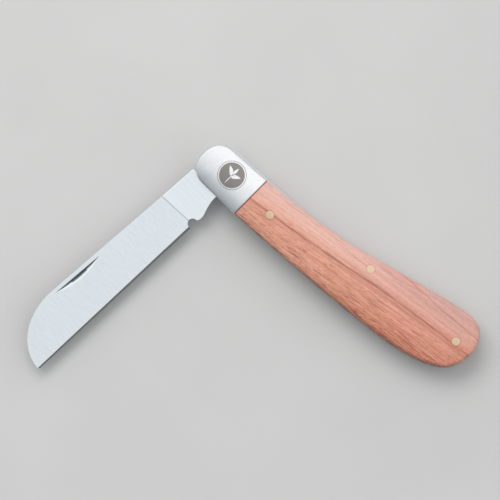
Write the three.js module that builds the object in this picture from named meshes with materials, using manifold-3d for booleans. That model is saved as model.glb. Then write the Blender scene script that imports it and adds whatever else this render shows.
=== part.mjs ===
// Folding grafting knife of the slip-joint kind, in millimetres, +Z up.
// The knife lies on its side. The origin is on the pivot pin's axis, at the level of the lower
// resting face; +X runs down the handle from the pivot to the butt and +Y points to the knife's back,
// where the backspring lies. The blade turns about Z between two liners.
import * as THREE from "three";
import { ConvexGeometry } from "three/addons/geometries/ConvexGeometry.js";
import { mergeVertices } from "three/addons/utils/BufferGeometryUtils.js";
import Module from "manifold-3d";

// ---- driving dimensions ----

const SCALE_THICKNESS = 4.0; // a bolster or wooden scale, on each side
const LINER_THICKNESS = 1.0;
const WELL_WIDTH = 2.2; // the slot between the liners; the backspring fills it
const BLADE_THICKNESS = 2.0;

const BOLSTER_END = 11.7; // X of the joint between bolster and wood
const EDGE_ROUND_DEPTH = 2.2; // how far the crowned faces fall towards the outline
const EDGE_ROUND_WIDTH = 3.6; // and over what width

const BLADE_OPENED = 94; // degrees between the stored knife and how it lies at rest
const TANG_FLAT = 4.5; // pivot axis to the tang's two flats
const TANG_TAIL = 5.3; // pivot axis to the rounded tail, which lifts the spring
const SPINE = 7.9; // pivot axis to the spine, at the shoulder
const SHOULDER = 5.45; // pivot axis to the shoulder that meets the spring's tip
const BLADE_REACH = 87.3; // pivot axis to the tip

const SPRING_LIFT = 1.05; // degrees that the tang lifts the spring's arm
const FLEX_X = 46; // where the arm bends from, along the handle
const FLEX_Y = 11.2;
const FLEX_GAP = 0.1;
const TIP_GAP = 0.14; // between the spring's tip and the shoulder of the open blade

const PIVOT_RADIUS = 2.0;
const PIN_RADIUS = 1.3;
const HOLE_CLEARANCE = 0.03; // pins that are held fast
const RUNNING_CLEARANCE = 0.06; // the blade turning on its pin
const FRONT_RIVET = [20.4, 1.5]; // short rivets, through one scale and one liner
const CENTRE_PIN = [56.2, 12.0]; // right through, in the backspring
const REAR_PIN = [92.6, 14.6];
const BOLSTER_RIVET = [8.0, 0.9];
const RIVET_HEAD_RADIUS = 1.9; // inner ends, peened into countersinks in the liners
const RIVET_HEAD_DEPTH = 0.6;

// ---- levels, worked out from those ----

const LINER_LOW = SCALE_THICKNESS;
const WELL_LOW = LINER_LOW + LINER_THICKNESS;
const WELL_HIGH = WELL_LOW + WELL_WIDTH;
const LINER_HIGH = WELL_HIGH + LINER_THICKNESS;
const TOP = LINER_HIGH + SCALE_THICKNESS;
const BLADE_LOW = (TOP - BLADE_THICKNESS) / 2;
const BLADE_HIGH = BLADE_LOW + BLADE_THICKNESS;
const FAR = 200; // larger than the knife, for cutting blocks
const radians = THREE.MathUtils.degToRad;

// ---- solids ----

const wasm = await Module();
wasm.setup();

function solid(geometry) {
  const bare = geometry.clone();
  bare.deleteAttribute("normal");
  bare.deleteAttribute("uv");
  const merged = mergeVertices(bare, 1e-4);
  return new wasm.Manifold(
    new wasm.Mesh({
      numProp: 3,
      vertProperties: merged.attributes.position.array,
      triVerts: new Uint32Array(merged.index.array),
    }),
  );
}

function geometryOf(made) {
  const mesh = made.getMesh();
  const geometry = new THREE.BufferGeometry();
  geometry.setAttribute("position", new THREE.BufferAttribute(mesh.vertProperties, 3));
  geometry.setIndex(new THREE.BufferAttribute(mesh.triVerts, 1));
  return geometry;
}

// A flat outline raised from one level to another.
function prism(shape, low, high, curveSegments = 12) {
  const options = { depth: high - low, bevelEnabled: false, curveSegments };
  return solid(new THREE.ExtrudeGeometry(shape, options).translate(0, 0, low));
}

function block([x0, y0, z0], [x1, y1, z1]) {
  const box = new THREE.BoxGeometry(x1 - x0, y1 - y0, z1 - z0);
  return solid(box.translate((x0 + x1) / 2, (y0 + y1) / 2, (z0 + z1) / 2));
}

function rod([x, y], radius, low, high) {
  const round = new THREE.CylinderGeometry(radius, radius, high - low, 32);
  return solid(round.rotateX(Math.PI / 2).translate(x, y, (low + high) / 2));
}

// A rivet standing on a liner's inner face: a countersunk head below a straight shank.
function rivet([x, y], inner, outwards, clearance) {
  const shank = PIN_RADIUS + clearance;
  const head = RIVET_HEAD_RADIUS + clearance;
  const length = SCALE_THICKNESS + LINER_THICKNESS;
  const profile = [
    [0, 0],
    [head, 0],
    [shank, RIVET_HEAD_DEPTH],
    [shank, length],
    [0, length],
  ].map(([r, h]) => new THREE.Vector2(r, h));
  const turned = new THREE.LatheGeometry(profile, 32);
  turned.rotateX(outwards > 0 ? Math.PI / 2 : -Math.PI / 2);
  return solid(turned.translate(x, y, inner));
}

// A convex block from its corners.
function hull(corners) {
  return solid(new ConvexGeometry(corners.map((c) => new THREE.Vector3(...c))));
}

// ---- the handle's outline, which bolsters, scales and liners share ----

function handleOutline() {
  const outline = new THREE.Shape();
  outline.moveTo(-2.5, -6.5);
  outline.bezierCurveTo(22, -6.3, 48, -4.6, 70, -2.2); // belly
  outline.bezierCurveTo(82, -0.9, 90.5, 1.6, 95, 5);
  outline.bezierCurveTo(97.6, 7, 99.2, 10.8, 99.2, 14.5); // butt
  outline.bezierCurveTo(99.2, 20.6, 96, 25.1, 88.5, 23.8);
  outline.bezierCurveTo(80, 22.3, 62, 17.2, 48, 13.8); // back
  outline.bezierCurveTo(36, 10.9, 20, 9, -2.5, 8.1);
  outline.bezierCurveTo(-7, 8, -9.1, 5.4, -9.1, 0.9); // rounded front
  outline.bezierCurveTo(-9.1, -3.5, -7, -6.5, -2.5, -6.5);
  return outline;
}

// The whole handle as one crowned solid, from which the sides are cut.
function crownedHandle() {
  const options = {
    depth: TOP - 2 * EDGE_ROUND_DEPTH,
    curveSegments: 10,
    bevelThickness: EDGE_ROUND_DEPTH,
    bevelSize: EDGE_ROUND_WIDTH,
    bevelOffset: -EDGE_ROUND_WIDTH,
    bevelSegments: 5,
  };
  const raised = new THREE.ExtrudeGeometry(handleOutline(), options);
  return solid(raised.translate(0, 0, EDGE_ROUND_DEPTH));
}

const crowned = crownedHandle();
const slab = (low, high) => prism(handleOutline(), low, high, 10);

function throughHoles() {
  const pins = [CENTRE_PIN, REAR_PIN].map((p) => rod(p, PIN_RADIUS + HOLE_CLEARANCE, -1, TOP + 1));
  return rod([0, 0], PIVOT_RADIUS + HOLE_CLEARANCE, -1, TOP + 1).add(pins[0]).add(pins[1]);
}

// The four short rivets' holes, a pair on each side.
function rivetHoles() {
  const low = (place) => rivet(place, WELL_LOW, -1, HOLE_CLEARANCE);
  const high = (place) => rivet(place, WELL_HIGH, 1, HOLE_CLEARANCE);
  return low(FRONT_RIVET).add(low(BOLSTER_RIVET)).add(high(FRONT_RIVET)).add(high(BOLSTER_RIVET));
}

const holes = throughHoles().add(rivetHoles());

function bolster(low, high) {
  const front = block([-FAR, -FAR, low], [BOLSTER_END, FAR, high]);
  return crowned.intersect(front).subtract(holes);
}

function scale(low, high) {
  const behind = block([BOLSTER_END, -FAR, low], [FAR, FAR, high]);
  return crowned.intersect(behind).subtract(holes);
}

function liner(low, high) {
  return slab(low, high).subtract(holes);
}

// A pin or rivet ground flush with the crowned face that it comes out of.
const flush = (pin) => pin.intersect(crowned);
const throughPin = (place, radius) => flush(rod(place, radius, -1, TOP + 1));

// ---- the backspring, drawn where it lies with the blade open or stored ----

// What the backspring leaves free: the well that the blade folds into.
function wellOutline() {
  const well = new THREE.Shape();
  const tip = -SHOULDER + TIP_GAP;
  well.moveTo(tip, 20);
  well.lineTo(tip, TANG_FLAT);
  well.lineTo(4, TANG_FLAT);
  well.bezierCurveTo(8, 4.5, 9.5, 6.05, 13, 6.05); // up to where the blade's kick lands
  well.bezierCurveTo(22, 6.1, 32, 8.2, 44, 8.8);
  well.bezierCurveTo(58, 9.2, 68, 11.4, 80, 12.4);
  well.bezierCurveTo(87, 13, 91, 9.5, 91, -4); // round the stored blade's tip
  well.lineTo(-20, -20);
  well.lineTo(-20, 20);
  return well;
}

function springHalf(x0, x1) {
  const whole = slab(WELL_LOW, WELL_HIGH);
  const cut = whole.subtract(prism(wellOutline(), 0, TOP, 10)).subtract(throughHoles());
  return cut.intersect(block([x0, -FAR, 0], [x1, FAR, TOP]));
}

// ---- the blade, drawn as it lies when stored: tip to +X, edge to +Y ----

const HEEL = [19.4, 6.2];
const EDGE_END = [86.75, 7.85];
const TIP_ROUND = [67.2, 7.3]; // centre of the ellipse that rounds the tip
const SPINE_AT_TIP = 8.6;
const NOTCH = { x: 17.8, y: 5.6, radius: 1.7 };
const GRIND_STEP = 0.12; // depth of the step where the ground face starts
const EDGE_LEFT = 0.4; // thickness left at the edge before the honed bevel
const BEVEL_RISE = 0.75; // rise of the honed bevel for each millimetre from the edge
const NICK = { x: 57, wallY: -6.5, radius: 42.6, tilt: 30, turn: -1.1, depth: 0.88 };

function bladeOutline() {
  const cornerX = Math.sqrt(TANG_TAIL ** 2 - TANG_FLAT ** 2);
  const corner = Math.atan2(TANG_FLAT, -cornerX);
  const outline = new THREE.Shape();
  outline.moveTo(SHOULDER, -SPINE);
  outline.bezierCurveTo(28, -SPINE, 46, -8.4, TIP_ROUND[0], -SPINE_AT_TIP);
  const rise = SPINE_AT_TIP + TIP_ROUND[1];
  outline.absellipse(...TIP_ROUND, BLADE_REACH - TIP_ROUND[0], rise, -Math.PI / 2, 0, false);
  outline.lineTo(...EDGE_END);
  outline.lineTo(...HEEL);
  const leave = Math.atan2(HEEL[1] - NOTCH.y, HEEL[0] - NOTCH.x);
  outline.absarc(NOTCH.x, NOTCH.y, NOTCH.radius, leave, Math.PI, true); // choil
  outline.bezierCurveTo(15.6, 6.1, 14.2, 6.3, 12.8, 5.7); // kick
  outline.bezierCurveTo(10.5, 4.7, 8, 3.9, 6, 4.05);
  outline.bezierCurveTo(4.8, 4.1, 4.2, TANG_FLAT, 3, TANG_FLAT);
  outline.lineTo(-cornerX, TANG_FLAT);
  outline.absarc(0, 0, TANG_TAIL, corner, 2 * Math.PI - corner, false); // tail
  outline.lineTo(SHOULDER, -TANG_FLAT);
  return outline;
}

// Level of the ground face at a distance from the pivot axis towards the edge.
function grindLevel(y) {
  const fall = (BLADE_THICKNESS - GRIND_STEP - EDGE_LEFT) / (SPINE_AT_TIP + EDGE_END[1]);
  return BLADE_HIGH - GRIND_STEP - fall * (y + SPINE_AT_TIP);
}

// What is ground off the marked face, forward of a line across the ricasso.
function grindBlock() {
  const corners = [];
  for (const [x, y] of [[19.7, -10], [17, 9], [100, -10], [100, 9]]) {
    corners.push([x, y, grindLevel(y)], [x, y, TOP]);
  }
  return hull(corners);
}

// The narrow honed bevel along the edge, on the marked face only, as on a grafting blade: one plane
// that rises from the edge line until it meets the ground face.
function bevelBlock() {
  const heel = new THREE.Vector2(...HEEL);
  const end = new THREE.Vector2(...EDGE_END);
  const inward = new THREE.Vector2(end.y - heel.y, heel.x - end.x).normalize();
  const corners = [];
  for (const along of [-0.02, 1.1]) {
    for (const [reach, rise] of [[2, 2 * BEVEL_RISE], [0, 0], [-1, 0]]) {
      const at = heel.clone().lerp(end, along).addScaledVector(inward, reach);
      corners.push([at.x, at.y, BLADE_LOW + 0.05 + rise], [at.x, at.y, TOP]);
    }
  }
  return hull(corners);
}

// The nail nick: the slice that a tilted wheel takes, straight on its spine side.
function nickWheel() {
  const width = 12;
  const tilt = radians(NICK.tilt);
  const wheel = new THREE.CylinderGeometry(NICK.radius, NICK.radius, width, 160);
  wheel.translate(0, width / 2, 0).rotateX(tilt);
  const floor = grindLevel(NICK.wallY) - NICK.depth;
  wheel.translate(0, -NICK.radius * Math.sin(tilt), floor + NICK.radius * Math.cos(tilt));
  return solid(wheel.rotateZ(radians(NICK.turn)).translate(NICK.x, NICK.wallY, 0));
}

function blade() {
  const bored = prism(bladeOutline(), BLADE_LOW, BLADE_HIGH, 14).subtract(
    rod([0, 0], PIVOT_RADIUS + RUNNING_CLEARANCE, -1, TOP + 1),
  );
  return bored.subtract(grindBlock()).subtract(bevelBlock()).subtract(nickWheel());
}

// ---- materials ----

const steel = new THREE.MeshStandardMaterial({ color: 0xd9dcdf, roughness: 0.28, metalness: 1 });
const bladeSteel = new THREE.MeshStandardMaterial({ color: 0xdfe3e6, roughness: 0.2, metalness: 1 });
const springSteel = new THREE.MeshStandardMaterial({ color: 0xb9bcbf, roughness: 0.35, metalness: 1 });
const linerSteel = new THREE.MeshStandardMaterial({ color: 0xc6c8ca, roughness: 0.35, metalness: 1 });
const brass = new THREE.MeshStandardMaterial({ color: 0xcdb27a, roughness: 0.35, metalness: 1 });
const rosewood = new THREE.MeshStandardMaterial({ color: 0xc67c62, roughness: 0.5, metalness: 0 });

// ---- assembly ----

const knife = new THREE.Group();

function add(name, made, material, group = knife) {
  const mesh = new THREE.Mesh(geometryOf(made), material);
  mesh.name = name;
  group.add(mesh);
}

// The marked side faces up, the other side down.
add("bolster_marked_side", bolster(LINER_HIGH, TOP), steel);
add("bolster_reverse_side", bolster(0, LINER_LOW), steel);
add("scale_marked_side", scale(LINER_HIGH, TOP), rosewood);
add("scale_reverse_side", scale(0, LINER_LOW), rosewood);
add("liner_marked_side", liner(WELL_HIGH, LINER_HIGH), linerSteel);
add("liner_reverse_side", liner(LINER_LOW, WELL_LOW), linerSteel);

add("pivot_pin", throughPin([0, 0], PIVOT_RADIUS), steel);
add("centre_pin", throughPin(CENTRE_PIN, PIN_RADIUS), brass);
add("rear_pin", throughPin(REAR_PIN, PIN_RADIUS), brass);
add("scale_rivet_marked_side", flush(rivet(FRONT_RIVET, WELL_HIGH, 1, 0)), brass);
add("scale_rivet_reverse_side", flush(rivet(FRONT_RIVET, WELL_LOW, -1, 0)), brass);
add("bolster_rivet_marked_side", flush(rivet(BOLSTER_RIVET, WELL_HIGH, 1, 0)), steel);
add("bolster_rivet_reverse_side", flush(rivet(BOLSTER_RIVET, WELL_LOW, -1, 0)), steel);

add("backspring", springHalf(FLEX_X + FLEX_GAP / 2, FAR), springSteel);

// The arm turns a little about its own bending point, lifted by the tang.
const springArm = new THREE.Group();
springArm.position.set(FLEX_X, FLEX_Y, 0);
springArm.rotation.z = -radians(SPRING_LIFT);
const arm = springHalf(-FAR, FLEX_X - FLEX_GAP / 2).translate([-FLEX_X, -FLEX_Y, 0]);
add("backspring_arm", arm, springSteel, springArm);
knife.add(springArm);

const bladeGroup = new THREE.Group();
bladeGroup.rotation.z = -radians(BLADE_OPENED);
add("blade", blade(), bladeSteel, bladeGroup);
knife.add(bladeGroup);

export default knife;
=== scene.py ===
"""Looks of the folding grafting knife: blade, backspring, liners, bolsters, wooden scales and pins."""
import math

import bmesh
import bpy
from mathutils import Matrix, Vector
from mathutils.bvhtree import BVHTree


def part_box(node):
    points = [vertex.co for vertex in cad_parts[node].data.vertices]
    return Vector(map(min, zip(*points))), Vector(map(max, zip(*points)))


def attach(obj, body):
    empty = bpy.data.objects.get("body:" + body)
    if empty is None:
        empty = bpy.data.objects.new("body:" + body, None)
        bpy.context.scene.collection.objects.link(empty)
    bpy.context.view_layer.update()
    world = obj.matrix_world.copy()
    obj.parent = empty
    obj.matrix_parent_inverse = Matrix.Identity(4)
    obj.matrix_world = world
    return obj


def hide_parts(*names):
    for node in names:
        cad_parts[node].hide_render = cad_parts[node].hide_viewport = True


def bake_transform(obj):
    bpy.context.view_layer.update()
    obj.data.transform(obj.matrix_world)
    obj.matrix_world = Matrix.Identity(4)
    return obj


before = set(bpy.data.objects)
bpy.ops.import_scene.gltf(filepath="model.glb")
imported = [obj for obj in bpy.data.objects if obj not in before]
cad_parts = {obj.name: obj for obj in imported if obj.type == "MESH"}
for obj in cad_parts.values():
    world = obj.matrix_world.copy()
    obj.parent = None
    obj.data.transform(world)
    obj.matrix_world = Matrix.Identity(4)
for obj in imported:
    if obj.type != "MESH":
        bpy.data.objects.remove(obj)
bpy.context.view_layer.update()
MM = 0.001

# ---- levels and places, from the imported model, in millimetres ----

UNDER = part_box("scale_reverse_side")[0][2] / MM
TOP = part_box("scale_marked_side")[1][2] / MM
LINER_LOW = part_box("liner_reverse_side")[0][2] / MM
WELL_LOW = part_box("liner_reverse_side")[1][2] / MM
WELL_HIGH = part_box("liner_marked_side")[0][2] / MM
LINER_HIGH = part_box("liner_marked_side")[1][2] / MM
BLADE_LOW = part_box("blade")[0][2] / MM
BLADE_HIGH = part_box("blade")[1][2] / MM
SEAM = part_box("bolster_marked_side")[1][0] / MM


def middle(node):
    """Where a node's middle is, seen from above."""
    low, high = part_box(node)
    return ((low[0] + high[0]) / 2 / MM, (low[1] + high[1]) / 2 / MM)


# ---- driving dimensions, in millimetres ----

OPENED = math.radians(-94)  # the blade's angle at rest, from where it is stored
TANG_FLAT = 4.5  # pivot axis to the tang's two flats
TANG_TAIL = 5.3  # pivot axis to the rounded tail, which lifts the spring
SHOULDER = 5.45  # pivot axis to the shoulder that meets the spring's tip
SPINE = 7.9  # pivot axis to the spine, at the shoulder
SPINE_CORNER = 0.9  # radius between the shoulder and the spine
SPINE_ROUND = 0.45  # how far the spine's long edges are rounded
SPINE_AT_TIP = 8.6
REACH = 87.3  # pivot axis to the tip
TIP_ROUND = (67.2, 7.3)  # centre of the ellipse that rounds the tip
HEEL, EDGE_END = Vector((19.4, 6.2)), Vector((86.75, 7.85))
NOTCH, NOTCH_RADIUS = (17.8, 5.6), 1.7
BORE = 2.06  # the blade's hole, which runs on the pivot pin
GRIND_STEP = 0.12  # depth of the step where the ground face starts
EDGE_LEFT = 0.4  # thickness that the ground face would leave at the edge
EDGE_THICKNESS = 0.05  # and what the honed strip leaves of it
STRIP_RISE = 0.75  # rise of the honed strip for each millimetre from the edge
# the wheel that cuts the nail nick: its place, its size, its angles in degrees and how deep it goes
NICK = {"x": 57, "wall_y": -6.5, "radius": 42.6, "width": 12, "tilt": 30, "turn": -1.1, "depth": 0.88}

LIFT = math.radians(-1.05)  # the spring's arm at rest, from where it lies flush
FLEX = (46.0, 11.2)  # the middle of the stretch that bends
BEND = 20.0  # and the length of that stretch
TIP_GAP = 0.14  # between the spring's tip and the shoulder of the open blade

CROWN_DEPTH = 1.75  # how far the crowned faces fall from their middle to their edge
PIVOT_RADIUS, BRASS_RADIUS, BOLSTER_RIVET_RADIUS = 2.0, 1.38, 1.3
PROUD = 0.03  # how far a brass pin stands out of the wood, and a steel one is sunk in the bolster
LINER_GAP, SPRING_GAP = 0.01, 0.02  # clearance on each side of a liner and of the spring


# ---- curves ----


def bezier(points, steps):
    """Points along cubic curves that share their ends: start, then two handles and an end for each."""
    out = []
    for i in range(0, len(points) - 1, 3):
        a, b, c, d = (Vector(p) for p in points[i : i + 4])
        for k in range(steps):
            t = k / steps
            u = 1 - t
            out.append(u**3 * a + 3 * u * u * t * b + 3 * u * t * t * c + t**3 * d)
    out.append(Vector(points[-1]))
    return out


HANDLE = [
    (-2.5, -6.5), (22, -6.3), (48, -4.6), (70, -2.2),
    (82, -0.9), (90.5, 1.6), (95, 5),
    (97.6, 7), (99.2, 10.8), (99.2, 14.5),
    (99.2, 20.6), (96, 25.1), (88.5, 23.8),
    (80, 22.3), (62, 17.2), (48, 13.8),
    (36, 10.9), (20, 9), (-2.5, 8.1),
    (-7, 8), (-9.1, 5.4), (-9.1, 0.9),
    (-9.1, -3.5), (-7, -6.5), (-2.5, -6.5),
]  # fmt: skip
MIDLINE = [(-1.9, 0.8), (25, 1.2), (55, 5.0), (88.3, 12.6)]
OUTLINE = bezier(HANDLE, 60)[:-1]


def arc(centre, radius, start, end, steps):
    """Points round an arc or an ellipse, from one angle to the other, in radians."""
    rx, ry = radius if isinstance(radius, tuple) else (radius, radius)
    angles = (start + (end - start) * k / steps for k in range(steps + 1))
    return [Vector((centre[0] + rx * math.cos(a), centre[1] + ry * math.sin(a))) for a in angles]


def hit_outline(origin, direction):
    """Where a ray from inside the handle meets its outline."""
    best = None
    for i, a in enumerate(OUTLINE):
        b = OUTLINE[(i + 1) % len(OUTLINE)]
        e = b - a
        det = direction.x * -e.y + direction.y * e.x
        if abs(det) < 1e-12:
            continue
        w = a - origin
        t = (w.x * -e.y + w.y * e.x) / det
        s = (direction.x * w.y - direction.y * w.x) / det
        if t > 0 and -1e-9 <= s <= 1 + 1e-9 and (best is None or t < best):
            best = t
    return origin + best * direction


# ---- mesh helpers ----


def make_object(name, bm, material, body, *nodes):
    """A mesh, drawn in millimetres, becomes a piece that rides on a body and stands for CAD nodes."""
    obj = bare(name, bm)
    for m in material if isinstance(material, list) else [material]:
        obj.data.materials.append(m)
    bpy.context.view_layer.update()
    if body:
        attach(obj, body)
    if nodes:
        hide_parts(*nodes)
    return obj


def apply_modifiers(obj):
    """Keeps the mesh that the object's modifiers make, in place of the modifiers."""
    graph = bpy.context.evaluated_depsgraph_get()
    mesh = bpy.data.meshes.new_from_object(obj.evaluated_get(graph))
    obj.modifiers.clear()
    old, obj.data = obj.data, mesh
    bpy.data.meshes.remove(old)


def soften(obj, width, angle=28, segments=2, sharp=32):
    """Breaks the sharp edges, as polishing does, and sets the shading; angles are in degrees."""
    bevel = obj.modifiers.new("edges", "BEVEL")
    bevel.width = width * MM
    bevel.segments = segments
    bevel.limit_method = "ANGLE"
    bevel.angle_limit = math.radians(angle)
    bevel.miter_outer = "MITER_ARC"
    bevel.use_clamp_overlap = True
    apply_modifiers(obj)
    shade(obj, sharp)


def shade(obj, sharp=32, weighted=True):
    """Smooth shading that leaves the large faces flat and only turns over the broken edges."""
    mesh = obj.data
    mesh.polygons.foreach_set("use_smooth", [True] * len(mesh.polygons))
    mesh.set_sharp_from_angle(angle=math.radians(sharp))
    if weighted:
        modifier = obj.modifiers.new("normals", "WEIGHTED_NORMAL")
        modifier.keep_sharp = True
        modifier.weight = 100
        apply_modifiers(obj)


def plate(bm, points, low, high):
    """A flat closed outline raised from one level to another."""
    lower = [bm.verts.new((p[0], p[1], low)) for p in points]
    upper = [bm.verts.new((p[0], p[1], high)) for p in points]
    n = len(points)
    for i in range(n):
        j = (i + 1) % n
        bm.faces.new((lower[i], lower[j], upper[j], upper[i]))
    bm.faces.new(upper)
    bm.faces.new(list(reversed(lower)))


def plate_object(name, points, low, high):
    """A plate as a bare object, for cutting with."""
    bm = bmesh.new()
    plate(bm, points, low, high)
    return bare(name, bm)


def bare(name, bm):
    """A mesh, drawn in millimetres, as an object with no material."""
    bmesh.ops.recalc_face_normals(bm, faces=bm.faces)
    bm.transform(Matrix.Scale(MM, 4))
    mesh = bpy.data.meshes.new(name)
    bm.to_mesh(mesh)
    bm.free()
    obj = bpy.data.objects.new(name, mesh)
    bpy.context.scene.collection.objects.link(obj)
    return obj


def cut(obj, *cutters):
    """Takes the cutters out of an object, and deletes them."""
    for cutter in cutters:
        modifier = obj.modifiers.new("cut", "BOOLEAN")
        modifier.operation = "DIFFERENCE"
        modifier.solver = "MANIFOLD"
        modifier.object = cutter
        apply_modifiers(obj)
        mesh = cutter.data
        bpy.data.objects.remove(cutter)
        bpy.data.meshes.remove(mesh)


def clad(obj, *materials):
    """Gives a cut piece its materials in place of the empty ones that cutting leaves."""
    obj.data.materials.clear()
    for material in materials:
        obj.data.materials.append(material)
    for face in obj.data.polygons:
        face.material_index = 0


def tidy_flat(obj, angle=0.05):
    """Joins the triangles that a cut leaves on flat faces."""
    bm = bmesh.new()
    bm.from_mesh(obj.data)
    bmesh.ops.remove_doubles(bm, verts=bm.verts, dist=2e-7)
    bmesh.ops.dissolve_limit(bm, angle_limit=math.radians(angle), verts=bm.verts, edges=bm.edges)
    bm.to_mesh(obj.data)
    bm.free()


# ---- materials ----


def new_material(name):
    """A material with its node tree and its Principled shader."""
    material = bpy.data.materials.new(name)
    material.use_nodes = True
    tree = material.node_tree
    shader = tree.nodes["Principled BSDF"]
    return material, tree, shader


def mapped(tree, scale, turn=0.0, move=(0, 0, 0)):
    """Object coordinates in millimetres, turned about Z, moved, then scaled on each axis."""
    coords = tree.nodes.new("ShaderNodeTexCoord")
    turned = tree.nodes.new("ShaderNodeMapping")
    turned.inputs["Rotation"].default_value = (0, 0, turn)
    turned.inputs["Scale"].default_value = (1000, 1000, 1000)
    scaled = tree.nodes.new("ShaderNodeMapping")
    scaled.inputs["Location"].default_value = move
    scaled.inputs["Scale"].default_value = scale
    tree.links.new(coords.outputs["Object"], turned.inputs["Vector"])
    tree.links.new(turned.outputs["Vector"], scaled.inputs["Vector"])
    return scaled.outputs["Vector"]


def noise(tree, vector, scale=1.0, detail=2.0, rough=0.5, distortion=0.0):
    """A noise from 0 to 1."""
    made = tree.nodes.new("ShaderNodeTexNoise")
    made.inputs["Scale"].default_value = scale
    made.inputs["Detail"].default_value = detail
    made.inputs["Roughness"].default_value = rough
    made.inputs["Distortion"].default_value = distortion
    tree.links.new(vector, made.inputs["Vector"])
    return made.outputs["Fac"]


def ramp(tree, source, *stops):
    """A colour or value ramp: (position, grey or colour) for each stop."""
    made = tree.nodes.new("ShaderNodeValToRGB")
    elements = made.color_ramp.elements
    while len(elements) < len(stops):
        elements.new(0.5)
    for element, (place, value) in zip(elements, stops):
        element.position = place
        element.color = (*value, 1) if isinstance(value, tuple) else (value, value, value, 1)
    tree.links.new(source, made.inputs["Fac"])
    return made.outputs["Color"]


def mix(tree, a, b, factor, mode="MIX"):
    """Two colours mixed; each of them, and the factor, is a value or a socket."""
    made = tree.nodes.new("ShaderNodeMix")
    made.data_type = "RGBA"
    made.blend_type = mode
    for value, socket in ((a, "A"), (b, "B")):
        target = [s for s in made.inputs if s.name == socket and s.type == "RGBA"][0]
        if isinstance(value, tuple):
            target.default_value = (*value, 1)
        else:
            tree.links.new(value, target)
    target = [s for s in made.inputs if s.name == "Factor" and s.type == "VALUE"][0]
    if isinstance(factor, float):
        target.default_value = factor
    else:
        tree.links.new(factor, target)
    return [s for s in made.outputs if s.type == "RGBA"][0]


def maths(tree, operation, a, b=0.0, c=0.0):
    """One sum; each term is a number or a socket."""
    made = tree.nodes.new("ShaderNodeMath")
    made.operation = operation
    for value, socket in zip((a, b, c), made.inputs):
        if isinstance(value, (int, float)):
            socket.default_value = value
        else:
            tree.links.new(value, socket)
    return made.outputs[0]


def bump(tree, shader, height, strength, distance):
    """Small relief in a shader's normals; the distance is in millimetres."""
    made = tree.nodes.new("ShaderNodeBump")
    made.inputs["Strength"].default_value = strength
    made.inputs["Distance"].default_value = distance * MM
    tree.links.new(height, made.inputs["Height"])
    tree.links.new(made.outputs["Normal"], shader.inputs["Normal"])


def brushed_metal(name, colour, roughness, brush, spread=0.08, grain=0.25, tint=None):
    """Satin metal: fine polishing lines and a soft cloudiness in its roughness, its tone and its bumps.
    The brush is how many lines there are to a millimetre along each axis."""
    material, tree, shader = new_material(name)
    shader.inputs["Metallic"].default_value = 1.0
    lines = noise(tree, mapped(tree, brush), 1.0, 3.0, 0.65)
    cloud = noise(tree, mapped(tree, (0.09, 0.09, 0.09), 0.0, (3, 7, 1)), 1.0, 3.0, 0.55)
    fine = noise(tree, mapped(tree, tuple(s * 3.1 for s in brush), 0.0, (11, 2, 5)), 1.0, 2.0, 0.6)
    rough = maths(tree, "MULTIPLY_ADD", lines, spread, roughness - spread / 2)
    rough = maths(tree, "MULTIPLY_ADD", cloud, spread * 0.9, rough)
    rough = maths(tree, "SUBTRACT", rough, spread * 0.45)
    tree.links.new(rough, shader.inputs["Roughness"])
    dark = tuple(c * 0.93 for c in colour)
    base = mix(tree, dark, colour, ramp(tree, lines, (0.3, 0.0), (0.62, 1.0)))
    if tint:
        base = mix(tree, base, tint, ramp(tree, cloud, (0.45, 0.0), (0.75, 0.35)))
    tree.links.new(base, shader.inputs["Base Color"])
    height = maths(tree, "ADD", lines, maths(tree, "MULTIPLY", fine, 0.6))
    bump(tree, shader, height, grain, 0.012)
    return material


GRAIN = math.radians(-8.6)  # the turn that lays the wood's grain along X
GRAIN_REACH = 100  # a vein is drawn this far along the grain,
GRAIN_HALF = 12  # and this far across it, to each side
GRAIN_NOISES = {
    # scale along and across the grain, offset, detail, roughness, distortion
    "broad": ((0.012, 0.16), (2, 5, 0), 4.0, 0.55, 0.4),
    "streak": ((0.016, 0.75), (0, 3, 8), 6.0, 0.62, 0.3),
    "vein": ((0.022, 1.9), (1, 8, 2), 5.0, 0.68, 0.2),
    "fibre": ((0.12, 6.5), (0, 0, 0), 4.0, 0.65),
    "pore": ((0.42, 3.6), (9, 1, 4), 2.5, 0.6),
    "dash": ((0.16, 2.6), (4, 1, 7), 3.0, 0.6),
    "fleck": ((0.7, 1.7), (3, 3, 9), 3.0, 0.6),
    "speck": ((0.16, 1.6), (6, 2, 1), 4.0, 0.7),
}


def axes(tree, vector):
    """The X, Y and Z of a vector."""
    made = tree.nodes.new("ShaderNodeSeparateXYZ")
    tree.links.new(vector, made.inputs[0])
    return made.outputs["X"], made.outputs["Y"], made.outputs["Z"]


def grain_noise(tree, scale, move, *settings):
    """A noise drawn out along the grain."""
    along, across = scale
    return noise(tree, mapped(tree, (along, across, across), GRAIN, move), 1.0, *settings)


def share_along(tree, x):
    """A place along the grain, as a share of the grain's reach."""
    return maths(tree, "MULTIPLY", x, 1 / GRAIN_REACH)


def vein_line(tree, x, y, *places):
    """How far a point is, across the grain, from a vein that passes through a few places (x, y)."""
    width = 2 * GRAIN_HALF
    stops = [(px / GRAIN_REACH, (py + GRAIN_HALF) / width) for px, py in places]
    made = ramp(tree, share_along(tree, x), *stops)
    made.node.color_ramp.interpolation = "B_SPLINE"
    return maths(tree, "MULTIPLY_ADD", made, -width, maths(tree, "ADD", y, GRAIN_HALF))


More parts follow.
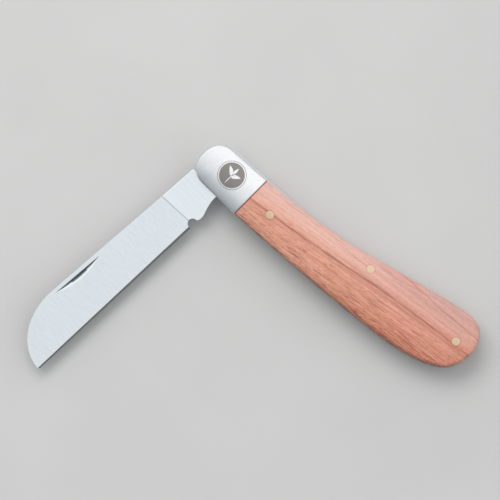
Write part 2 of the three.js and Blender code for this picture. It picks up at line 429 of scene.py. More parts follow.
def wood_ground(tree, grain, across, belly):
    """The salmon ground, from the redder belly to the greyer back, with its long and short streaks."""
    colour = ramp(tree, across, (0.03, (0.64, 0.295, 0.18)), (0.20, (0.70, 0.33, 0.215)),
                  (0.42, (0.70, 0.35, 0.25)), (0.54, (0.67, 0.355, 0.27)), (0.64, (0.64, 0.37, 0.305)),
                  (0.80, (0.62, 0.375, 0.325)), (0.98, (0.55, 0.355, 0.315)))
    pale = ramp(tree, grain["streak"], (0.30, 0.25), (0.45, 0.0))
    colour = mix(tree, colour, (0.93, 0.66, 0.57), pale)
    brown = ramp(tree, grain["streak"], (0.52, 0.0), (0.60, 0.40), (0.70, 0.6))
    colour = mix(tree, colour, (0.58, 0.25, 0.17), brown)
    thin = ramp(tree, grain["vein"], (0.54, 0.0), (0.60, 0.6), (0.68, 0.95))
    thin = maths(tree, "MULTIPLY", thin, maths(tree, "MULTIPLY_ADD", belly, 0.7, 0.2))
    colour = mix(tree, colour, (0.36, 0.10, 0.06), thin)
    short = maths(tree, "MULTIPLY", ramp(tree, grain["dash"], (0.55, 0.0), (0.63, 0.9)), belly)
    colour = mix(tree, colour, (0.40, 0.095, 0.055), short)
    edge = ramp(tree, across, (0.0, 1.0), (0.20, 0.35), (0.45, 0.0))
    stain = maths(tree, "MULTIPLY", ramp(tree, grain["speck"], (0.56, 0.0), (0.61, 0.85)), edge)
    return mix(tree, colour, (0.26, 0.055, 0.03), stain)


def wood_veins(tree, grain, x, y, colour):
    """A strong dark vein down the middle with a redder shade beside it, and a fainter one near the butt."""
    uneven = maths(tree, "MULTIPLY", maths(tree, "SUBTRACT", grain["dash"], 0.5), 1.6)

    def near(off):
        return maths(tree, "ADD", maths(tree, "ABSOLUTE", off), uneven)

    main = vein_line(tree, x, y, (12, -0.9), (25, -1.2), (38, -1.1), (60, -0.1), (84, 0.0), (99, -0.9))
    dark = ramp(tree, near(main), (0.0, 0.85), (0.22, 0.6), (0.55, 0.0))
    patches = noise(tree, mapped(tree, (0.07, 0.0, 0.07), GRAIN, (3, 1, 1)))
    strength = ramp(tree, patches, (0.36, 0.6), (0.52, 1.0))
    colour = mix(tree, colour, (0.25, 0.095, 0.07), maths(tree, "MULTIPLY", dark, strength))
    beside = near(maths(tree, "ADD", main, 1.1))
    colour = mix(tree, colour, (0.50, 0.20, 0.135), ramp(tree, beside, (0.2, 0.55), (0.9, 0.0)))
    faint = vein_line(tree, x, y, (50, 9.5), (70, 7.8), (82, 6.6), (99, 5.0))
    return mix(tree, colour, (0.42, 0.18, 0.13), ramp(tree, near(faint), (0.0, 0.7), (0.45, 0.0)))


def wood_butt_tone_and_painted_edge_shade(tree, grain, x, colour):
    """Darker and redder towards the butt; and painted shade along the rounded belly edge, whose faces turn
    towards -Y, away from the light.
    """
    towards_butt = ramp(tree, share_along(tree, x), (0.42, (1.0, 1.0, 1.0)),
                        (0.74, (0.92, 0.83, 0.82)), (0.98, (0.92, 0.80, 0.76)))
    colour = mix(tree, colour, towards_butt, 1.0, "MULTIPLY")
    # painted shade: faces that turn towards -Y (the belly edge, turned away from the key light) are darkened
    # in the colour, mottled by the dash noise
    facing = axes(tree, tree.nodes.new("ShaderNodeNewGeometry").outputs["Normal"])[1]
    facing = maths(tree, "MULTIPLY_ADD", facing, 0.5, 0.5)
    belly_edge_painted_shade = ramp(tree, facing, (0.12, 1.0), (0.28, 0.4), (0.38, 0.0))
    belly_edge_painted_shade = maths(tree, "MULTIPLY", belly_edge_painted_shade, ramp(tree, grain["dash"], (0.36, 0.45), (0.58, 1.0)))
    return mix(tree, colour, (0.17, 0.055, 0.035), maths(tree, "MULTIPLY", belly_edge_painted_shade, 0.75))


def wood_fibres(tree, grain, belly, open_pore, colour):
    """Fine fibres, and small open pores along the grain."""
    for key, stops in (
        ("fibre", ((0.28, 0.76), (0.5, 1.0), (0.75, 1.07))),
        ("vein", ((0.36, 0.86), (0.5, 1.0), (0.64, 1.08))),
        ("fleck", ((0.34, 0.93), (0.6, 1.03))),
    ):
        colour = mix(tree, colour, ramp(tree, grain[key], *stops), 1.0, "MULTIPLY")
    depth = maths(tree, "MULTIPLY_ADD", belly, 0.65, 0.12)
    return mix(tree, colour, (0.28, 0.07, 0.04), maths(tree, "MULTIPLY", open_pore, depth))


def wood_painted_gap_shade(tree, colour):
    """Painted shade where the wood meets the bolster and in a thin ring round each pin, standing in for the
    shade in those gaps.
    """
    x, y, _ = axes(tree, mapped(tree, (1, 1, 1)))
    # painted shade: the wood is darkened just behind the seam with the bolster, and in a thin ring round
    # each pin
    seam_and_ring_shade = ramp(tree, maths(tree, "SUBTRACT", x, SEAM), (0.14, 0.95), (0.28, 0.6), (0.55, 0.0))
    for pin in ("scale_rivet_marked_side", "centre_pin", "rear_pin"):
        px, py = middle(pin)
        dx = maths(tree, "SUBTRACT", x, px)
        dy = maths(tree, "SUBTRACT", y, py)
        square = maths(tree, "MULTIPLY_ADD", dx, dx, maths(tree, "MULTIPLY", dy, dy))
        square = maths(tree, "MULTIPLY", square, 0.25)  # a quarter of it stays within the ramp
        ring = ramp(tree, square, (0.44, 0.0), (0.47, 0.42), (0.56, 0.2), (0.72, 0.0))
        seam_and_ring_shade = maths(tree, "MAXIMUM", seam_and_ring_shade, ring)
    return mix(tree, colour, (0.10, 0.04, 0.03), seam_and_ring_shade)


def rosewood(name):
    """Oiled rosewood: salmon ground, long thin dark veins, fine fibres and small open pores."""
    material, tree, shader = new_material(name)
    grain = {key: grain_noise(tree, *settings) for key, settings in GRAIN_NOISES.items()}
    x, y, _ = axes(tree, mapped(tree, (1, 1, 1), GRAIN))
    across = maths(tree, "MULTIPLY_ADD", y, 0.045, 0.54)  # about 0 at the belly and 1 at the back
    wander = maths(tree, "SUBTRACT", grain["broad"], 0.5)
    across = maths(tree, "MULTIPLY_ADD", wander, 0.6, across)
    belly = ramp(tree, across, (0.10, 1.0), (0.45, 0.45), (0.60, 0.0))
    open_pore = ramp(tree, grain["pore"], (0.58, 0.0), (0.66, 1.0))

    colour = wood_ground(tree, grain, across, belly)
    colour = wood_veins(tree, grain, x, y, colour)
    colour = wood_butt_tone_and_painted_edge_shade(tree, grain, x, colour)
    colour = wood_fibres(tree, grain, belly, open_pore, colour)
    tree.links.new(wood_painted_gap_shade(tree, colour), shader.inputs["Base Color"])

    rough = maths(tree, "MULTIPLY_ADD", grain["fibre"], 0.18, 0.38)
    rough = maths(tree, "MULTIPLY_ADD", open_pore, 0.2, rough)
    tree.links.new(rough, shader.inputs["Roughness"])
    height = maths(tree, "SUBTRACT", maths(tree, "MULTIPLY", grain["fibre"], 0.5), open_pore)
    bump(tree, shader, height, 0.35, 0.035)
    shader.inputs["Coat Weight"].default_value = 0.3
    shader.inputs["Coat Roughness"].default_value = 0.3
    return material


bolster_steel = brushed_metal("satin bolster steel", (0.86, 0.875, 0.89), 0.31, (2.2, 0.25, 2.2), grain=0.16)
blade_steel = brushed_metal("satin blade steel", (0.81, 0.855, 0.885), 0.25, (3.2, 0.10, 3.2), 0.07, 0.14)
# painted shade: the nail nick's steep wall gets a near-black base colour for the shade inside the nick
nick_wall_painted_shade = brushed_metal("nick wall with painted shade", (0.10, 0.105, 0.11), 0.45, (3.0, 0.5, 3.0), grain=0.1)
# painted reflection: the honed strip gets a dark base colour for the dark reflection seen on its slant
honed_edge_painted_reflection = brushed_metal("honed edge steel with painted dark reflection", (0.27, 0.255, 0.245), 0.30, (6.0, 0.5, 6.0), grain=0.1)
ground_steel = brushed_metal("ground liner steel", (0.62, 0.63, 0.645), 0.34, (0.2, 3.5, 3.5))
spring_steel = brushed_metal("ground spring steel", (0.66, 0.67, 0.685), 0.32, (0.15, 3.0, 3.0))
etched = brushed_metal("etched mark", (0.33, 0.305, 0.285), 0.55, (2.5, 2.5, 2.5), grain=0.4)
brass = brushed_metal("ground brass", (0.77, 0.575, 0.405), 0.38, (1.4, 1.4, 1.4), tint=(0.66, 0.46, 0.29))
wood = rosewood("oiled rosewood")


# ---- the crowned sides: one loft over the whole handle, cut into bolster and scale ----

STATIONS = 96  # places along the middle line
FAN = 48  # places round each of its ends
INNER_RINGS = 9
EDGE_RINGS = 7
EDGE_TURN = (0.55, 1.5)  # how far the edge turns over, at the bolster and at the butt
EDGE_FALL = {"sides": 0.75, "ends": 0.85}  # and how deep, as a share of that
CROWN_AT_BUTT = 0.95  # the crown's depth there, as a share of the depth at the bolster
CROWN_POWER = 2.1  # 2 would be a parabola; more is flatter in the middle
BUTT_FALL = 0.55  # how far the crown falls along the handle at the butt: 0 not at all, 1 as to the sides
FOOT = ((0.0, 0.12), (0.10, 0.02))  # the lower edge: how far it is drawn in, and its level over the liner
BLEND_START, BLEND_LENGTH = 12, 60  # where the bolster's sizes change into those at the butt
JOINT_GAP = 0.05  # from the seam to the bolster, and to the wood
JOINT_EDGE = 0.13  # the broken edge on each side of the seam


def loft_lines():
    """The handle's middle line, and for each outline point the middle point that it belongs to."""
    fine = bezier(MIDLINE, 400)
    centre = [fine[round(i * (len(fine) - 1) / STATIONS)] for i in range(STATIONS + 1)]
    normals = []
    for i in range(STATIONS + 1):
        t = (centre[min(i + 1, STATIONS)] - centre[max(i - 1, 0)]).normalized()
        normals.append(Vector((t.y, -t.x)))  # towards the belly
    edge = [(hit_outline(centre[i], normals[i]), i) for i in range(STATIONS + 1)]
    start = math.atan2(normals[-1].y, normals[-1].x)
    for k in range(1, FAN):
        a = start + math.pi * k / FAN
        edge.append((hit_outline(centre[-1], Vector((math.cos(a), math.sin(a)))), STATIONS))
    for i in range(STATIONS, -1, -1):
        edge.append((hit_outline(centre[i], -normals[i]), i))
    start = math.atan2(-normals[0].y, -normals[0].x)
    for k in range(1, FAN):
        a = start + math.pi * k / FAN
        edge.append((hit_outline(centre[0], Vector((math.cos(a), math.sin(a)))), 0))
    return centre, edge


CENTRE, EDGE = loft_lines()
PLATE_OUTLINE = [p for p, i in EDGE]


def blend_along(x, front, butt):
    """A size that goes smoothly from one value at the bolster to another at the butt."""
    t = min(max((x - BLEND_START) / BLEND_LENGTH, 0), 1)
    return front + (butt - front) * t * t * (3 - 2 * t)


def ring_points(place):
    """One ring round the crowned face: place runs from 0 at the middle to 1 where the edge starts to
    turn over, then to 2 at the bottom of the turned edge. Gives (x, y, drop below the top)."""
    out = []
    for p, i in EDGE:
        m = CENTRE[i]
        ray = p - m
        length = ray.length
        turn = blend_along(p.x, *EDGE_TURN)
        along = (CENTRE[min(i + 1, STATIONS)] - CENTRE[max(i - 1, 0)]).normalized()
        across = abs(ray.x * -along.y + ray.y * along.x) / length
        if 0 < i < STATIONS:
            across = 1
        elif i == STATIONS:
            across = across + (1 - across) * BUTT_FALL
        if place <= 1:
            inward, fall = length - place * (length - turn), 0
        else:
            angle = (place - 1) * math.pi / 2
            inward, fall = turn * (1 - math.sin(angle)), turn * (1 - math.cos(angle))
        q = m + ray * (1 - inward / length)
        v = across * (1 - inward / length)
        sag = blend_along(p.x, CROWN_DEPTH, CROWN_DEPTH * CROWN_AT_BUTT)
        fall *= EDGE_FALL["ends" if i in (0, STATIONS) else "sides"]
        out.append((q.x, q.y, sag * abs(v) ** CROWN_POWER + fall))
    return out


def crowned_side(up):
    """The closed crowned solid on one side of the liners, over bolster and scale together."""
    bm = bmesh.new()
    level = (lambda z: z) if up else (lambda z: UNDER + TOP - z)
    middle_verts = [bm.verts.new((c.x, c.y, level(TOP))) for c in CENTRE]
    last = None
    count = len(EDGE)
    places = [(k + 1) / INNER_RINGS for k in range(INNER_RINGS)]
    places += [1 + (k + 1) / EDGE_RINGS for k in range(EDGE_RINGS)]
    for place in places:
        ring = [bm.verts.new((x, y, level(TOP - drop))) for x, y, drop in ring_points(place)]
        for a in range(count):
            b = (a + 1) % count
            if last is None:
                ca, cb = middle_verts[EDGE[a][1]], middle_verts[EDGE[b][1]]
                corners = (ca, ring[a], ring[b]) if ca is cb else (ca, ring[a], ring[b], cb)
            else:
                corners = (last[a], ring[a], ring[b], last[b])
            bm.faces.new(corners)
        last = ring
    for inset, rise in FOOT:
        ring = []
        for p, i in EDGE:
            q = p + (CENTRE[i] - p).normalized() * inset
            ring.append(bm.verts.new((q.x, q.y, level(LINER_HIGH + rise))))
        for a in range(count):
            b = (a + 1) % count
            bm.faces.new((last[a], ring[a], ring[b], last[b]))
        last = ring
    bm.faces.new(last)
    bmesh.ops.recalc_face_normals(bm, faces=bm.faces)
    return bm


def cut_side(bm, at, keep_front):
    """Keeps the part of a side in front of or behind a cross plane, and caps it."""
    geometry = list(bm.verts) + list(bm.edges) + list(bm.faces)
    made = bmesh.ops.bisect_plane(bm, geom=geometry, plane_co=(at, 0, 0), plane_no=(1, 0, 0),
                                  clear_outer=keep_front, clear_inner=not keep_front)
    rim = [e for e in made["geom_cut"] if isinstance(e, bmesh.types.BMEdge)]
    cap = bmesh.ops.edgeloop_fill(bm, edges=rim)["faces"]
    edges = [e for f in cap for e in f.edges]
    bmesh.ops.bevel(bm, geom=edges, offset=JOINT_EDGE, segments=3, profile=0.5, affect="EDGES",
                    clamp_overlap=True)
    return bm


def side_pieces():
    """Both bolsters and both wooden scales."""
    for side, up in (("marked", True), ("reverse", False)):
        front = cut_side(crowned_side(up), SEAM - JOINT_GAP, True)
        bolster = make_object(f"bolster_{side}", front, bolster_steel, "handle", f"bolster_{side}_side")
        back = cut_side(crowned_side(up), SEAM + JOINT_GAP, False)
        scale = make_object(f"scale_{side}", back, wood, "handle", f"scale_{side}_side")
        for obj in (bolster, scale):
            shade(obj, 40, False)


side_pieces()


# ---- the surface that pins and the mark lie on ----


def surface(up):
    """A function that gives the level of the crowned face above or below a place."""
    bm = crowned_side(up)
    tree = BVHTree.FromBMesh(bm)
    bm.free()
    down = Vector((0, 0, -1 if up else 1))
    above = TOP + 5 if up else UNDER - 5

    def level(x, y):
        return tree.ray_cast(Vector((x, y, above)), down)[0].z

    return level


top_level, under_level = surface(True), surface(False)


# ---- pins ----

PIN_STEPS = 40  # points round a pin
# rings of a pin's end: radius and how far it stands proud, both as shares
WORN_END = ((0.35, 1.0), (0.62, 0.98), (0.82, 0.9), (0.93, 0.62), (0.985, 0.2), (1.0, -0.8))


def pin_end(bm, x, y, radius, level, out, proud, base):
    """A pin's ground end, which follows the crowned surface, and its wall down to the base. An end that
    stands proud has a worn edge. Gives the ring of points at the base."""
    turns = [2 * math.pi * k / PIN_STEPS for k in range(PIN_STEPS)]
    centre = bm.verts.new((x, y, level(x, y) + out * proud))
    rings = []
    for r, lift in WORN_END:
        if proud < 0:
            lift = 1
        ring = []
        for a in turns:
            px, py = x + radius * r * math.cos(a), y + radius * r * math.sin(a)
            ring.append(bm.verts.new((px, py, level(px, py) + out * proud * lift)))
        rings.append(ring)
    foot = [bm.verts.new((x + radius * math.cos(a), y + radius * math.sin(a), base)) for a in turns]
    rings.append(foot)
    for k in range(PIN_STEPS):
        bm.faces.new((centre, rings[0][k], rings[0][(k + 1) % PIN_STEPS]))
    for inner, outer in zip(rings, rings[1:]):
        for k in range(PIN_STEPS):
            j = (k + 1) % PIN_STEPS
            bm.faces.new((inner[k], outer[k], outer[j], inner[j]))
    return foot


def through_pin(name, node_name, material, radius, proud):
    """A pin that runs through the whole handle, with an end on each side."""
    x, y = middle(node_name)
    bm = bmesh.new()
    half = (WELL_LOW + WELL_HIGH) / 2
    a = pin_end(bm, x, y, radius, top_level, 1, proud, half)
    b = pin_end(bm, x, y, radius, under_level, -1, proud, half)
    for k, v in enumerate(b):
        bmesh.ops.pointmerge(bm, verts=[v, a[k]], merge_co=a[k].co)
    obj = make_object(name, bm, material, "handle", node_name)
    shade(obj, 50)


def short_rivet(name, node_name, material, radius, proud, up):
    """A rivet through the wood or the bolster of one side only; its foot is on the inside of the liner."""
    x, y = middle(node_name)
    bm = bmesh.new()
    if up:
        foot = pin_end(bm, x, y, radius, top_level, 1, proud, WELL_HIGH)
    else:
        foot = pin_end(bm, x, y, radius, under_level, -1, proud, WELL_LOW)
    bm.faces.new(foot)
    obj = make_object(name, bm, material, "handle", node_name)
    shade(obj, 50)


for pin in ("centre_pin", "rear_pin"):
    through_pin(f"{pin}_brass", pin, brass, BRASS_RADIUS, PROUD)
for side, up in (("marked", True), ("reverse", False)):
    short_rivet(f"scale_rivet_{side}", f"scale_rivet_{side}_side", brass,
                BRASS_RADIUS, PROUD, up)
    short_rivet(f"bolster_rivet_{side}", f"bolster_rivet_{side}_side", bolster_steel,
                BOLSTER_RIVET_RADIUS, -PROUD, up)
through_pin("pivot_pin_steel", "pivot_pin", bolster_steel, PIVOT_RADIUS, -PROUD)


# ---- liners ----


def liner(name, node_name, low, high):
    """A thin steel plate with the handle's outline."""
    bm = bmesh.new()
    plate(bm, PLATE_OUTLINE, low + LINER_GAP, high - LINER_GAP)
    obj = make_object(name, bm, ground_steel, "handle", node_name)
    soften(obj, 0.09, 40)


liner("liner_marked", "liner_marked_side", WELL_HIGH, LINER_HIGH)
liner("liner_reverse", "liner_reverse_side", LINER_LOW, WELL_LOW)


# ---- backspring ----


def backspring():
    """The handle's outline less the blade's well, drawn flush and then bent to where it is at rest."""
    tip = TIP_GAP - SHOULDER
    well = [Vector((tip, 20)), Vector((tip, TANG_FLAT)), Vector((4, TANG_FLAT))]
    floor = [(4, TANG_FLAT), (8, TANG_FLAT), (9.5, 6.05), (13, 6.05), (22, 6.1), (32, 8.2), (44, 8.8),
             (58, 9.2), (68, 11.4), (80, 12.4), (87, 13), (91, 9.5), (91, -4)]  # fmt: skip
    well += bezier(floor, 30)[1:]
    well += [Vector((91, -20)), Vector((-20, -20)), Vector((-20, 20))]
    low, high = WELL_LOW + SPRING_GAP, WELL_HIGH - SPRING_GAP
    spring = plate_object("backspring_steel", PLATE_OUTLINE, low, high)
    cut(spring, plate_object("well", well, 0, TOP))
    tidy_flat(spring)
    clad(spring, spring_steel)
    soften(spring, 0.12, 35)
    for v in spring.data.vertices:
        x, y = v.co.x / MM, v.co.y / MM
        t = min(max((FLEX[0] + BEND / 2 - x) / BEND, 0), 1)
        turn = LIFT * t * t * (3 - 2 * t)
        dx, dy = x - FLEX[0], y - FLEX[1]
        v.co.x = (FLEX[0] + dx * math.cos(turn) - dy * math.sin(turn)) * MM
        v.co.y = (FLEX[1] + dx * math.sin(turn) + dy * math.cos(turn)) * MM
    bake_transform(spring)
    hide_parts("backspring", "backspring_arm")


backspring()


# ---- blade, drawn as it lies when stored ----


def blade_outline():
    """From the spine round the tip, along the edge to the notch and the kick, and round the tang."""
    corner_x = math.sqrt(TANG_TAIL**2 - TANG_FLAT**2)
    corner = math.atan2(TANG_FLAT, -corner_x)
    spine_start = SHOULDER + SPINE_CORNER
    spine = [(spine_start, -SPINE), (28, -SPINE), (46, -8.4), (TIP_ROUND[0], -SPINE_AT_TIP)]
    points = bezier(spine, 60)[:-1]
    points += arc(TIP_ROUND, (REACH - TIP_ROUND[0], SPINE_AT_TIP + TIP_ROUND[1]), -math.pi / 2, 0, 60)
    points += [EDGE_END.lerp(HEEL, k / 60) for k in range(61)]
    leave = math.atan2(HEEL.y - NOTCH[1], HEEL.x - NOTCH[0])
    points += arc(NOTCH, NOTCH_RADIUS, leave, -math.pi, 26)[1:]
    kick = [(NOTCH[0] - NOTCH_RADIUS, NOTCH[1]), (15.6, 6.1), (14.2, 6.3), (12.8, 5.7),
            (10.5, 4.7), (8, 3.9), (6, 4.05), (4.8, 4.1), (4.2, TANG_FLAT), (3, TANG_FLAT)]
    points += bezier(kick, 14)[1:]
    points += arc((0, 0), TANG_TAIL, corner, 2 * math.pi - corner, 40)
    points += [Vector((SHOULDER, -TANG_FLAT)), Vector((SHOULDER, -SPINE + SPINE_CORNER))]
    round_centre = (spine_start, -SPINE + SPINE_CORNER)
    points += arc(round_centre, SPINE_CORNER, math.pi, math.pi * 1.5, 8)[1:-1]
    return points


def grind_level(y):
    """Height of the ground face: thick at the spine, thin at the edge."""
    start, end = BLADE_HIGH - GRIND_STEP, BLADE_LOW + EDGE_LEFT
    return start + (end - start) * (y + SPINE_AT_TIP) / (SPINE_AT_TIP + EDGE_END.y)


def hull_object(name, corners, round_edges=0.0):
    """A solid with straight edges between its corners, for cutting with; its edges can be rounded."""
    bm = bmesh.new()
    verts = [bm.verts.new(c) for c in corners]
    bmesh.ops.convex_hull(bm, input=verts)
    obj = bare(name, bm)
    tidy_flat(obj)
    if round_edges:
        soften(obj, round_edges, 20, 4)
    return obj


def grind_cutter():
    """Takes the blade down to its ground face, which starts at a step with a rounded foot."""
    corners = []
    for x, y in ((20.1, -14), (17.1, 12), (130, -14), (130, 12)):
        corners += [(x, y, grind_level(y)), (x, y, TOP)]
    return hull_object("grind", corners, 0.22)


def edge_cutter():
    """Cuts the honed strip: one plane that rises from the edge line until it meets the ground face."""
    inward = Vector((EDGE_END.y - HEEL.y, HEEL.x - EDGE_END.x)).normalized()
    corners = []
    for share in (-0.02, 1.1):
        at = HEEL.lerp(EDGE_END, share)
        for reach, rise in ((2, 2 * STRIP_RISE), (0, 0), (-1, 0)):
            p = at + inward * reach
            corners += [(p.x, p.y, BLADE_LOW + EDGE_THICKNESS + rise), (p.x, p.y, TOP)]
    return hull_object("bevel", corners)


def nick_cutter():
    """The tilted wheel that cuts the nail nick."""
    radius, width, tilt = NICK["radius"], NICK["width"], math.radians(NICK["tilt"])
    bm = bmesh.new()
    bmesh.ops.create_cone(bm, cap_ends=True, segments=720, radius1=radius, radius2=radius, depth=width)
    bm.transform(Matrix.Rotation(math.pi / 2, 4, "X"))
    bm.transform(Matrix.Translation((0, width / 2, 0)))
    bm.transform(Matrix.Rotation(tilt, 4, "X"))
    bottom = grind_level(NICK["wall_y"]) - NICK["depth"]
    bm.transform(Matrix.Translation((0, -radius * math.sin(tilt), bottom + radius * math.cos(tilt))))
    bm.transform(Matrix.Rotation(math.radians(NICK["turn"]), 4, "Z"))
    bm.transform(Matrix.Translation((NICK["x"], NICK["wall_y"], 0)))
    return bare("nick", bm)


def round_spine(obj):
    """Rounds the spine's two long edges, as far as the blade is thick enough."""
    bm = bmesh.new()
    bm.from_mesh(obj.data)
    edges = []
    for e in bm.edges:
        flat, wall = sorted(e.link_faces, key=lambda f: -abs(f.normal.z))
        at = (e.verts[0].co + e.verts[1].co) / 2 / MM
        # the spine's wall looks towards -Y; the other walls that do so are the tang's, at y > -6.9
        along_spine = wall.normal.y < -0.05 and abs(wall.normal.z) < 0.05 and (at.x > 60 or at.y < -6.9)
        if abs(flat.normal.z) > 0.95 and along_spine and (flat.normal.z > 0 or at.y < -7):
            edges.append(e)
    bmesh.ops.bevel(bm, geom=edges, offset=SPINE_ROUND * MM, segments=6, profile=0.5, affect="EDGES",
                    clamp_overlap=False)
    bm.to_mesh(obj.data)
    bm.free()


def blade():
    """One solid: outline, rounded spine, bore, ground face, honed strip and nail nick."""
    made = plate_object("blade_steel_piece", blade_outline(), BLADE_LOW, BLADE_HIGH)
    round_spine(made)
    bore = plate_object("bore", arc((0, 0), BORE, 0, 2 * math.pi, 48)[:-1], 0, TOP)
    cut(made, bore, grind_cutter(), edge_cutter(), nick_cutter())
    tidy_flat(made, 0.3)
    clad(made, blade_steel, honed_edge_painted_reflection, nick_wall_painted_shade)
    for face in made.data.polygons:  # the honed strip is slanted, and so is the nick's wall
        n = face.normal
        if 0.3 < n.z < 0.97 and n.y > 0.2 and face.center.x / MM > 20:
            # painted dark reflection on the honed strip (slot 1), painted shade on the nick's wall (slot 2)
            face.material_index = 1 if face.center.y > 0 else 2
    made.matrix_world = Matrix.Rotation(OPENED, 4, "Z")
    soften(made, 0.09, 22, 3, 30)
    bpy.context.view_layer.update()
    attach(made, "blade")
    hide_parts("blade")


blade()


# ---- the mark etched on the bolster: a ring round a disc with a sprout ----

MARK = (2.5, 2.1)  # its middle
ETCHED, BRIGHT = 0.012, 0.024  # the levels of the dark ring and disc, and of the sprout, above the bolster
RIM_SUNK = 0.03  # and how far below it their rims are turned down


def lay(bm, rows, top, slot_index, closed):
    """Rows of points laid on the bolster as a thin sheet. Each open row is a strip; closed rows are rings.
    The sheet's outer edge is turned down below the surface."""
    grid = [[bm.verts.new((p[0], p[1], top_level(p[0], p[1]) + top)) for p in row] for row in rows]
    count = len(grid[0])
    for a, b in zip(grid, grid[1:]):
        for k in range(count if closed else count - 1):
            j = (k + 1) % count
            bm.faces.new((a[k], a[j], b[j], b[k])).material_index = slot_index
    if closed:
        rims = [grid[0], grid[-1]]
    else:
        rims = [grid[0][:-1] + [r[-1] for r in grid[:-1]] + grid[-1][:0:-1] + [r[0] for r in grid[:0:-1]]]
    for rim in rims:
        foot = [bm.verts.new((v.co.x, v.co.y, v.co.z - top - RIM_SUNK)) for v in rim]
        for k in range(len(rim)):
            j = (k + 1) % len(rim)
            bm.faces.new((rim[k], foot[k], foot[j], rim[j])).material_index = slot_index


def ring_rows(inner, outer, steps=96, rings=3):
    """Rings from the inner radius to the outer one."""
    rows = []
    for r in range(rings + 1):
        radius = inner + (outer - inner) * r / rings
        angles = [2 * math.pi * k / steps for k in range(steps)]
        rows.append([(MARK[0] + radius * math.cos(a), MARK[1] + radius * math.sin(a)) for a in angles])
    return rows


def leaf_rows(base, tip, width, bend):
    """A pointed leaf from its base to its tip, curving to one side; the sprout grows towards +Y."""
    base, tip = Vector(base), Vector(tip)
    axis = tip - base
    side = Vector((-axis.y, axis.x)).normalized()
    rows = []
    for k in range(15):
        t = k / 14
        mid = base + axis * t + side * bend * math.sin(math.pi * t)
        half = width * math.sin(math.pi * t**0.8) ** 0.9 + 0.02
        rows.append([mid + side * half * v for v in (-1, -0.5, 0, 0.5, 1)])
    return [[(MARK[0] + p.x, MARK[1] + p.y) for p in row] for row in rows]


def mark():
    """A dark ring round a dark disc, with a bright sprout: two leaves, a bud and a stem."""
    bm = bmesh.new()
    lay(bm, ring_rows(4.62, 4.80), ETCHED, 0, True)
    lay(bm, ring_rows(0.01, 4.22, rings=14), ETCHED, 0, True)
    lay(bm, leaf_rows((-0.15, -0.35), (-2.7, 1.9), 0.60, -0.28), BRIGHT, 1, False)
    lay(bm, leaf_rows((0.15, -0.75), (2.8, 1.2), 0.60, 0.28), BRIGHT, 1, False)
    lay(bm, leaf_rows((0.0, 0.35), (0.15, 3.1), 0.42, 0.0), BRIGHT, 1, False)
    lay(bm, leaf_rows((0.0, -3.5), (0.0, 0.45), 0.13, 0.0), BRIGHT, 1, False)
    obj = make_object("bolster_mark", bm, [etched, bolster_steel], "handle")
    shade(obj, 40, False)


mark()


# ---- floor, light and camera ----


UP = Vector((-0.701, 0.713, 0))  # the picture's up and right, on the floor
RIGHT = Vector((0.713, 0.701, 0))
PICTURE_TURN = math.radians(44.5)
MID_LEVEL = 0.006  # of the knife, in metres, as are all the values from here on
LOOK_AT = Vector((0.02377, -0.01114, MID_LEVEL))
CAMERA_HEIGHT = 1.0  # far off, so that the view is nearly free of perspective
VIEW_WIDTH = 0.164  # what the picture shows of the middle level, from side to side
SENSOR = 36  # in millimetres, and so the lens too


def stage():
    """The pale floor just under the knife, drawn in millimetres."""
    half_width, level = 3000, -0.04
    bm = bmesh.new()
    bmesh.ops.create_grid(bm, x_segments=1, y_segments=1, size=half_width)
    bm.transform(Matrix.Translation((40, 0, level)))
    material, tree, shader = new_material("pale floor")
    clouds = noise(tree, mapped(tree, (0.02, 0.02, 0.02)), 1.0, 3.0)
    tone = ramp(tree, clouds, (0.3, (0.505, 0.505, 0.50)), (0.7, (0.53, 0.53, 0.525)))
    tree.links.new(tone, shader.inputs["Base Color"])
    shader.inputs["Roughness"].default_value = 0.75
    shader.inputs["Specular IOR Level"].default_value = 0.2
    floor = make_object("floor", bm, material, None)


stage()


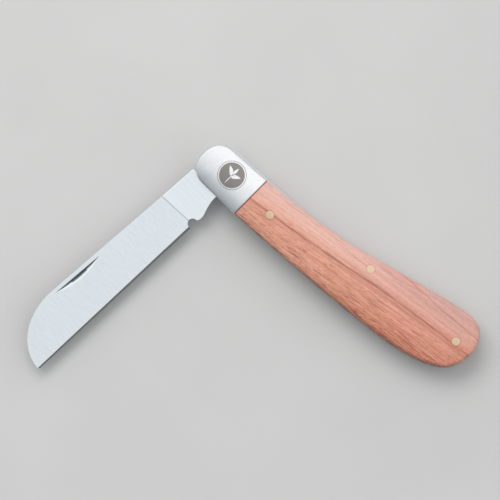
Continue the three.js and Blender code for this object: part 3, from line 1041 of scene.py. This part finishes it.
def area_light(name, place, target, size, power, colour):
    """A rectangular lamp that faces its target."""
    data = bpy.data.lights.new(name, "AREA")
    data.shape = "RECTANGLE"
    data.size, data.size_y = size
    data.energy = power
    data.color = colour
    obj = bpy.data.objects.new(name, data)
    obj.location = place
    obj.rotation_euler = (target - place).to_track_quat("-Z", "Y").to_euler()
    bpy.context.scene.collection.objects.link(obj)
    return obj


def lights():
    """A soft key light for the wood and the shadow, and a smooth surround for the metal to mirror, which
    is darker on one side of the knife than on the other."""
    key = LOOK_AT + UP * 0.50 - RIGHT * 0.22 + Vector((0, 0, 0.80))
    lamp = area_light("key", key, LOOK_AT, (0.75, 0.45), 4.6, (1.0, 0.985, 0.965))
    lamp.visible_glossy = False  # the metal mirrors only the smooth surround
    world = bpy.data.worlds.new("studio")
    world.use_nodes = True
    tree = world.node_tree
    back = tree.nodes["Background"]
    coords = tree.nodes.new("ShaderNodeTexCoord")
    dot = tree.nodes.new("ShaderNodeVectorMath")
    dot.operation = "DOT_PRODUCT"
    dot.inputs[1].default_value = (-0.48, 0.88, 0)
    tree.links.new(coords.outputs["Generated"], dot.inputs[0])
    tone = ramp(tree, maths(tree, "MULTIPLY_ADD", dot.outputs["Value"], 0.5, 0.5),
                (0.05, (0.22, 0.235, 0.25)), (0.14, (0.39, 0.41, 0.43)), (0.26, (0.66, 0.695, 0.72)),
                (0.38, (1.02, 1.05, 1.07)), (0.48, (1.14, 1.16, 1.18)), (0.56, (1.24, 1.25, 1.26)),
                (0.68, (1.39, 1.39, 1.39)), (0.85, (1.39, 1.39, 1.38)), (1.0, (1.22, 1.22, 1.22)))
    tree.links.new(tone, back.inputs["Color"])
    back.inputs["Strength"].default_value = 0.82
    bpy.context.scene.world = world


lights()


def camera():
    """Straight down on the knife."""
    data = bpy.data.cameras.new("camera")
    data.sensor_width = SENSOR
    data.lens = SENSOR * (CAMERA_HEIGHT - MID_LEVEL) / VIEW_WIDTH
    obj = bpy.data.objects.new("camera", data)
    bpy.context.scene.collection.objects.link(obj)
    obj.location = (LOOK_AT.x, LOOK_AT.y, CAMERA_HEIGHT)
    obj.rotation_euler = (0, 0, PICTURE_TURN)
    data.clip_start, data.clip_end = 0.01, 20
    bpy.context.scene.camera = obj


camera()
bpy.context.scene.view_settings.view_transform = "Standard"
bpy.context.scene.view_settings.look = "None"
